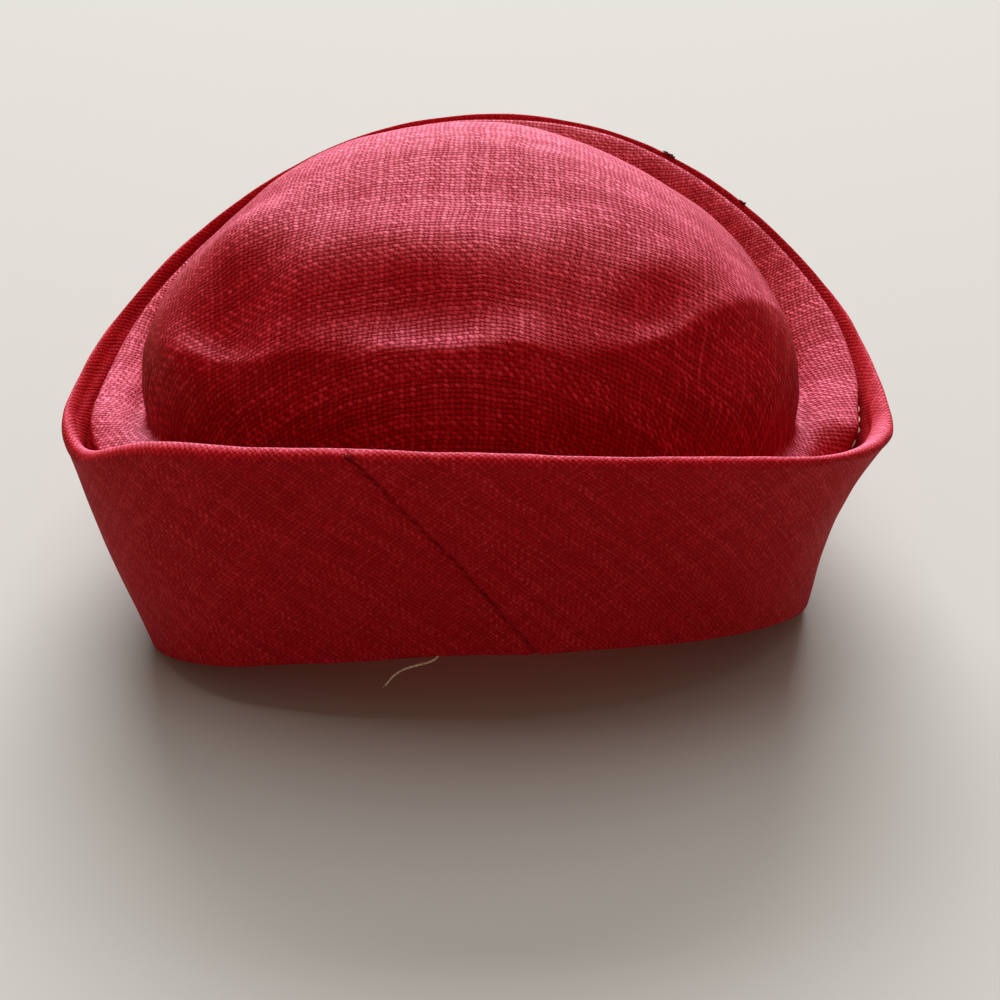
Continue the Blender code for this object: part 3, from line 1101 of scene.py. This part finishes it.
class Value:
    """What a node puts out. Sums of numbers can be written with the usual signs."""

    def __init__(self, nodes, socket):
        self.nodes = nodes
        self.socket = socket

    def __add__(self, other):
        return self.nodes.math("ADD", self, other)

    def __sub__(self, other):
        return self.nodes.math("SUBTRACT", self, other)

    def __rsub__(self, other):
        return self.nodes.math("SUBTRACT", other, self)

    def __mul__(self, other):
        return self.nodes.math("MULTIPLY", self, other)

    def __truediv__(self, other):
        return self.nodes.math("DIVIDE", self, other)


class Nodes:
    """Adds nodes to a tree and joins them."""

    def __init__(self, tree):
        self.tree = tree

    def add(self, kind, inputs=(), **settings):
        node = self.tree.nodes.new(kind)
        for name, value in settings.items():
            setattr(node, name, value)
        for key, value in dict(inputs).items():
            self.feed(node.inputs[key], value)
        return node

    def feed(self, socket, value):
        if isinstance(value, Value):
            self.tree.links.new(value.socket, socket)
        else:
            socket.default_value = value

    def value(self, kind, inputs=(), output=0, **settings):
        return Value(self, self.add(kind, inputs, **settings).outputs[output])

    def math(self, operation, a, b=0.0, c=0.0, clamp=False):
        inputs = {0: a, 1: b, 2: c}
        return self.value("ShaderNodeMath", inputs, operation=operation, use_clamp=clamp)

    def vector(self, operation, a, b):
        return self.value("ShaderNodeVectorMath", {0: a, 1: b}, operation=operation)

    def mix(self, share, a, b):
        """One colour mixed into another."""
        return self.value("ShaderNodeMix", {0: share, 6: a, 7: b}, 2, data_type="RGBA")

    def join(self, x, y, z=0.0):
        return self.value("ShaderNodeCombineXYZ", {0: x, 1: y, 2: z})

    def split(self, vector):
        x, y, _ = self.add("ShaderNodeSeparateXYZ", {0: vector}).outputs
        return Value(self, x), Value(self, y)

    def noise(self, vector, scale, detail=0.0, dimensions="2D", output=0):
        inputs = {"Vector": vector, "Scale": scale, "Detail": detail}
        return self.value("ShaderNodeTexNoise", inputs, output, noise_dimensions=dimensions)

    def chance(self, x, y):
        """Random number from 0 to 1 for each pair of numbers."""
        inputs = {"Vector": self.join(x, y)}
        return self.value("ShaderNodeTexWhiteNoise", inputs, noise_dimensions="2D")

    def strayed(self, place, scale, reach):
        """The place moved by a smooth noise of the given scale and reach."""
        drift = self.vector("SUBTRACT", self.noise(place, scale, 1.0, output=1), (0.5, 0.5, 0.5))
        push = self.value("ShaderNodeVectorMath", {0: drift, "Scale": reach}, operation="SCALE")
        return self.vector("ADD", place, push)

    def spread(self, value, low, high, to_low=0.0, to_high=1.0):
        """The value on a soft ramp from one range to another."""
        inputs = {0: value, 1: low, 2: high, 3: to_low, 4: to_high}
        return self.value("ShaderNodeMapRange", inputs, interpolation_type="SMOOTHSTEP")


def group_sockets(group, inputs, outputs):
    """Gives a node group its named inputs and outputs."""
    group.interface.new_socket(name="Cloth", in_out="INPUT", socket_type="NodeSocketVector")
    for name, default in inputs:
        socket = group.interface.new_socket(
            name=name, in_out="INPUT", socket_type="NodeSocketFloat"
        )
        socket.default_value = default
    for name in outputs:
        group.interface.new_socket(name=name, in_out="OUTPUT", socket_type="NodeSocketFloat")


def waved(nodes, place, reach):
    """The place moved so that each yarn waves along its run, nearly in step with its neighbours."""
    x, y = nodes.split(place)
    pace_along, pace_across = WAVE_PACE
    moved = []
    for across, along, seed in ((x, y, 2.0), (y, x, 7.0)):
        drift = nodes.noise(nodes.join(along * pace_along, across * pace_across + seed), 1.0)
        moved.append(across + (drift - 0.5) * reach)
    return nodes.join(*moved)


def yarn(nodes, across, along, seed, unevenness):
    """Which yarn of one direction a point is on, how far off its middle, its slubs and tone."""
    index = nodes.math("FLOOR", across)
    lane = index * YARN_APART + seed
    lot = (nodes.chance(index, seed) * (2 * LOT_REACH) - LOT_REACH) * unevenness
    slub = nodes.noise(nodes.join(lane, along * SLUB_PACE), 1.0, 1.0) + lot
    tone = nodes.noise(nodes.join(lane, along * TONE_PACE, 4.0), 1.0, 0.0, "3D") + lot
    return index, across - index - 0.5, slub, tone


def yarn_height(nodes, offset, along_offset, sign, slub, form):
    """Height of a twisted yarn that goes over and under the ones it crosses."""
    _, thin, thick, twist = form
    ratio = offset / nodes.spread(slub, *SLUB_RANGE, thin, thick)
    rounded = nodes.math("SUBTRACT", 1.0, ratio * ratio, clamp=True)
    wave = nodes.math("COSINE", (offset * twist + along_offset) * math.pi)
    return nodes.math("POWER", rounded, 0.8) * (wave * sign * YARN_SWING + (1.0 - YARN_SWING))


def weave_group():
    """Plain weave of uneven linen yarns, from the cloth's UV map in metres."""
    group = bpy.data.node_groups.new("plain_weave", "ShaderNodeTree")
    inputs = (
        ("Warp Spacing", 0.0012),
        ("Weft Spacing", 0.0012),
        ("Grain Turn", 0.0),
        ("Wander", 1.0),
        ("Fleck", 0.30),
        ("Warp Height", 0.84),
        ("Unevenness", 1.0),
    )
    group_sockets(group, inputs, ("Height", "Tone", "Gap"))
    nodes = Nodes(group)
    sockets = nodes.add("NodeGroupInput").outputs
    given = {socket.name: Value(nodes, socket) for socket in sockets}
    wander, uneven = given["Wander"], given["Unevenness"]
    turn = {"Vector": given["Cloth"], "Angle": given["Grain Turn"]}
    turned = nodes.value("ShaderNodeVectorRotate", turn, rotation_type="Z_AXIS")
    spacing = nodes.join(given["Warp Spacing"], given["Weft Spacing"], 1.0)
    threads = nodes.vector("DIVIDE", turned, spacing)
    place = nodes.strayed(threads, BROAD_DRIFT[0], wander * BROAD_DRIFT[1])
    place = waved(nodes, place, wander * YARN_WAVE)
    x, y = nodes.split(nodes.strayed(place, FINE_DRIFT[0], wander * FINE_DRIFT[1]))
    warp, warp_offset, warp_slub, warp_tone = yarn(nodes, x, y, WARP_YARN[0], uneven)
    weft, weft_offset, weft_slub, weft_tone = yarn(nodes, y, x, WEFT_YARN[0], uneven)
    sign = nodes.math("FLOORED_MODULO", warp + weft, 2.0) * 2.0 - 1.0
    warp_top = yarn_height(nodes, warp_offset, weft_offset, sign, warp_slub, WARP_YARN)
    warp_top = warp_top * given["Warp Height"]
    weft_top = yarn_height(nodes, weft_offset, warp_offset, sign * -1.0, weft_slub, WEFT_YARN)
    chance = nodes.chance(warp, weft)
    fibre = nodes.noise(threads, YARN_FIBRES, 2.0) - 0.5
    height = nodes.math("SMOOTH_MAX", warp_top, weft_top, HEIGHT_MERGE)
    height = height * nodes.spread(chance, 0.0, 1.0, *CROSSING_HEIGHTS)
    height = height + fibre * YARN_FIBRE_RELIEF
    warp_shows = nodes.spread(warp_top - weft_top, -TONE_MERGE, TONE_MERGE)
    tone = nodes.value("ShaderNodeMix", {0: warp_shows, 2: weft_tone, 3: warp_tone})
    fleck = (chance - 0.5) * given["Fleck"] + fibre * YARN_FIBRE_TONE
    tone = nodes.math("ADD", tone, fleck, clamp=True)
    gap = nodes.spread(height, *GAP_HEIGHTS, 1.0, 0.0)
    nodes.add("NodeGroupOutput", {"Height": height, "Tone": tone, "Gap": gap})
    return group


def shared_weave():
    return bpy.data.node_groups.get("plain_weave") or weave_group()


def new_material(name):
    """A material, its nodes and its shader."""
    material = bpy.data.materials.new(name)
    material.use_nodes = True
    return material, Nodes(material.node_tree), material.node_tree.nodes["Principled BSDF"]


def add_relief(nodes, shader, height, depth):
    inputs = {"Strength": 1.0, "Distance": depth, "Height": height}
    nodes.feed(shader.inputs["Normal"], nodes.value("ShaderNodeBump", inputs))


def linen_material(name, look, spacing, cut):
    """Dyed linen with painted sheen and tip highlights, and painted shade in its gaps and seam."""
    material, nodes, shader = new_material(name)
    cloth = nodes.value("ShaderNodeUVMap", uv_map="cloth")
    inputs = {
        "Cloth": cloth,
        "Warp Spacing": spacing[0],
        "Weft Spacing": spacing[1],
        "Grain Turn": cut["turn"],
        "Unevenness": cut["unevenness"],
    }
    woven = nodes.add("ShaderNodeGroup", node_tree=shared_weave())
    for key, value in inputs.items():
        nodes.feed(woven.inputs[key], value)
    height, tone, gap = (Value(nodes, woven.outputs[key]) for key in ("Height", "Tone", "Gap"))
    faded = nodes.value("ShaderNodeAttribute", output="Fac", attribute_name="faded")
    crease = nodes.value("ShaderNodeAttribute", output="Fac", attribute_name="crease")
    mottle = (nodes.noise(cloth, MOTTLE_SCALE, 2.0) - 0.5) * MOTTLE_REACH
    tone = (tone + mottle - 0.5) * cut["unevenness"] + 0.5
    lit = nodes.spread(tone, *cut["tones"], *cut["lit"])
    body = nodes.mix(lit, (*look.deep_colour, 1), (*look.lit_colour, 1))
    # Painted highlight on the tops of the threads, stronger under the painted sheen
    tips = nodes.spread(height, *TIP_HEIGHTS) * nodes.spread(tone, *TIP_TONES)
    tips = tips * (faded * TIP_SHEEN + cut["tips"])
    # Painted sheen on the side that faces the light, strongest on the tops of the threads
    paled = faded * nodes.spread(height, *FLANK_TO_TOP, FLANK_SHEEN, 1.0) * THREAD_SHEEN
    pale = nodes.math("ADD", paled, tips, clamp=True)
    body = nodes.mix(pale, body, (*look.sheen_colour, 1))
    # Painted shade in the gaps between threads, lighter under the painted sheen, and down in the seam
    open_gap = gap * (1.0 - faded * faded * GAP_SHEEN)
    sunk = nodes.math("ADD", open_gap * cut["gaps"], crease, clamp=True)
    nodes.feed(shader.inputs["Base Color"], nodes.mix(sunk, body, (*look.gap_shade_colour, 1)))
    nodes.feed(shader.inputs["Roughness"], nodes.spread(tone, 0.2, 0.8, *LINEN_ROUGHNESS))
    shader.inputs["Specular IOR Level"].default_value = 0.05
    add_relief(nodes, shader, height, look.weave_depth)
    return material


def thread_material(name, colour):
    """Twisted sewing thread."""
    material, nodes, shader = new_material(name)
    place = nodes.value("ShaderNodeTexCoord", output="Object")
    fibre = nodes.noise(place, FIBRE_SCALE, 2.0, "3D")
    dark = 0.4 * Vector(colour)
    twisted = nodes.mix(nodes.spread(fibre, 0.3, 0.7), (*dark, 1), (*colour, 1))
    nodes.feed(shader.inputs["Base Color"], twisted)
    shader.inputs["Roughness"].default_value = 0.8
    shader.inputs["Specular IOR Level"].default_value = 0.1
    add_relief(nodes, shader, fibre, 0.0001)
    return material


# Pieces


def add_object(context, name, mesh, material):
    """Makes an object of a mesh."""
    data = bpy.data.meshes.new(name)
    mesh.to_mesh(data)
    mesh.free()
    data.materials.append(material)
    made = bpy.data.objects.new(name, data)
    context.scene.collection.objects.link(made)
    return made


def finish_piece(context, mesh, name, material, node=None):
    """Makes a piece of a mesh, lets it ride on the hat and stand for its solid."""
    piece = add_object(context, name, mesh, material)
    piece.data.shade_smooth()
    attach(piece, "root")
    if node:
        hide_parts(node)
    return piece


class HAT_OT_cuff(bpy.types.Operator):
    """Make the turned-up cuff with its rolled edge and slanted seam"""

    bl_idname = "hat.make_cuff"
    bl_label = "Cuff"

    def execute(self, context):
        form, look = context.scene.hat_form, context.scene.hat_cloth
        spacing = (look.cuff_spacing, look.cuff_spacing)
        linen = linen_material("bias_linen", look, spacing, BIAS_LINEN)
        finish_piece(context, make_cuff(form), "cuff_cloth", linen, "cuff")
        return {"FINISHED"}


class HAT_OT_crown(bpy.types.Operator):
    """Make the draped crown"""

    bl_idname = "hat.make_crown"
    bl_label = "Crown"

    def execute(self, context):
        form, look = context.scene.hat_form, context.scene.hat_cloth
        spacing = (look.warp_spacing, look.weft_spacing)
        linen = linen_material("straight_linen", look, spacing, STRAIGHT_LINEN)
        piece = finish_piece(
            context, make_crown(form), "crown_cloth", linen, "crown"
        )
        wall = piece.modifiers.new("cloth", "SOLIDIFY")
        wall.thickness = form.crown_cloth
        wall.offset = -1
        return {"FINISHED"}


class HAT_OT_threads(bpy.types.Operator):
    """Make the stitches, the loose thread, the fray and the tangles on the rim"""

    bl_idname = "hat.make_threads"
    bl_label = "Threads"

    def execute(self, context):
        form, look = context.scene.hat_form, context.scene.hat_cloth
        tan = thread_material("sewing_thread", look.thread_colour)
        knot = thread_material("dyed_thread", look.knot_colour)
        made = (
            ("seam_stitches", make_seam_stitches(form), tan, "crown_cloth"),
            ("loose_thread", make_loose_thread(), tan, "cuff_cloth"),
            ("rim_knots", make_rim_knots(form), knot, "cuff_cloth"),
            ("seam_fray", make_seam_fray(form), knot, "cuff_cloth"),
        )
        for name, mesh, material, slot in made:
            bmesh.ops.recalc_face_normals(mesh, faces=mesh.faces)
            finish_piece(context, mesh, name, material)
        return {"FINISHED"}


class HAT_OT_stage(bpy.types.Operator):
    """Set up the floor, the light and the camera"""

    bl_idname = "hat.make_stage"
    bl_label = "Stage"

    def execute(self, context):
        stage = context.scene.hat_stage
        make_floor(context, stage)
        make_lamps(context, stage)
        make_room(context, stage)
        make_camera(context, stage)
        return {"FINISHED"}


def make_floor(context, stage):
    material, _, shader = new_material("plain_floor")
    shader.inputs["Base Color"].default_value = (*stage.floor_colour, 1)
    shader.inputs["Roughness"].default_value = 0.9
    shader.inputs["Specular IOR Level"].default_value = 0.2
    mesh = bmesh.new()
    bmesh.ops.create_grid(mesh, x_segments=1, y_segments=1, size=FLOOR_REACH)
    add_object(context, "floor", mesh, material)


def add_lamp(context, name, kind, power, colour, place):
    """Lamp at a place, aimed at the hat."""
    light = bpy.data.lights.new(name, kind)
    light.energy = power
    light.color = colour
    lamp = bpy.data.objects.new(name, light)
    lamp.location = place
    aim = Vector(LAMP_TARGET) - lamp.location
    lamp.rotation_euler = aim.to_track_quat("-Z", "Y").to_euler()
    context.scene.collection.objects.link(lamp)
    return lamp


def make_lamps(context, stage):
    """Soft lamps round the hat, and a dim red one for the light that its thin crown lets through."""
    for name, power, width, depth, place, colour in SOFT_LAMPS:
        lamp = add_lamp(context, name, "AREA", getattr(stage, power), colour, place)
        lamp.data.shape = "RECTANGLE"
        lamp.data.size = width
        lamp.data.size_y = depth
    glow = add_lamp(context, "cloth_glow", "POINT", stage.glow_power, GLOW_COLOUR, GLOW_PLACE)
    glow.data.shadow_soft_size = GLOW_RADIUS
    glow.visible_camera = False


def make_room(context, stage):
    """Even light from all round, in which the camera sees a pale wall."""
    world = bpy.data.worlds.new("room")
    world.use_nodes = True
    nodes = Nodes(world.node_tree)
    background = world.node_tree.nodes["Background"]
    seen = nodes.value("ShaderNodeLightPath", output="Is Camera Ray")
    colour = nodes.mix(seen, (*stage.room_colour, 1), (*stage.wall_colour, 1))
    nodes.feed(background.inputs["Color"], colour)
    nodes.feed(background.inputs["Strength"], seen * (1.0 - stage.room_light) + stage.room_light)
    context.scene.world = world
    context.scene.view_settings.view_transform = "Standard"


def make_camera(context, stage):
    camera = bpy.data.cameras.new("camera")
    camera.sensor_width = 36
    camera.lens = stage.camera_lens
    camera.clip_start = 0.01
    eye = bpy.data.objects.new("camera", camera)
    level = math.cos(stage.camera_elevation)
    right = math.sin(stage.camera_azimuth) * level
    ahead = math.cos(stage.camera_azimuth) * level
    back = Vector((right, -ahead, math.sin(stage.camera_elevation)))
    eye.location = Vector(CAMERA_TARGET) + back * stage.camera_distance
    eye.rotation_euler = (-back).to_track_quat("-Z", "Y").to_euler()
    context.scene.collection.objects.link(eye)
    context.scene.camera = eye


class HAT_PT_panel(bpy.types.Panel):
    """Lists the steps that make the hat"""

    bl_idname = "HAT_PT_panel"
    bl_label = "Soft linen hat"
    bl_space_type = "VIEW_3D"
    bl_region_type = "UI"
    bl_category = "Hat"

    def draw(self, context):
        for step in STEPS:
            self.layout.operator(step.bl_idname)


STEPS = (HAT_OT_cuff, HAT_OT_crown, HAT_OT_threads, HAT_OT_stage)
CLASSES = (HatForm, HatCloth, HatStage, *STEPS, HAT_PT_panel)


def register():
    for cls in CLASSES:
        bpy.utils.register_class(cls)
    bpy.types.Scene.hat_form = PointerProperty(type=HatForm)
    bpy.types.Scene.hat_cloth = PointerProperty(type=HatCloth)
    bpy.types.Scene.hat_stage = PointerProperty(type=HatStage)


def unregister():
    del bpy.types.Scene.hat_stage
    del bpy.types.Scene.hat_cloth
    del bpy.types.Scene.hat_form
    for cls in reversed(CLASSES):
        bpy.utils.unregister_class(cls)


def main():
    register()
    bpy.ops.hat.make_cuff()
    bpy.ops.hat.make_crown()
    bpy.ops.hat.make_threads()
    bpy.ops.hat.make_stage()


if __name__ == "__main__":
    main()
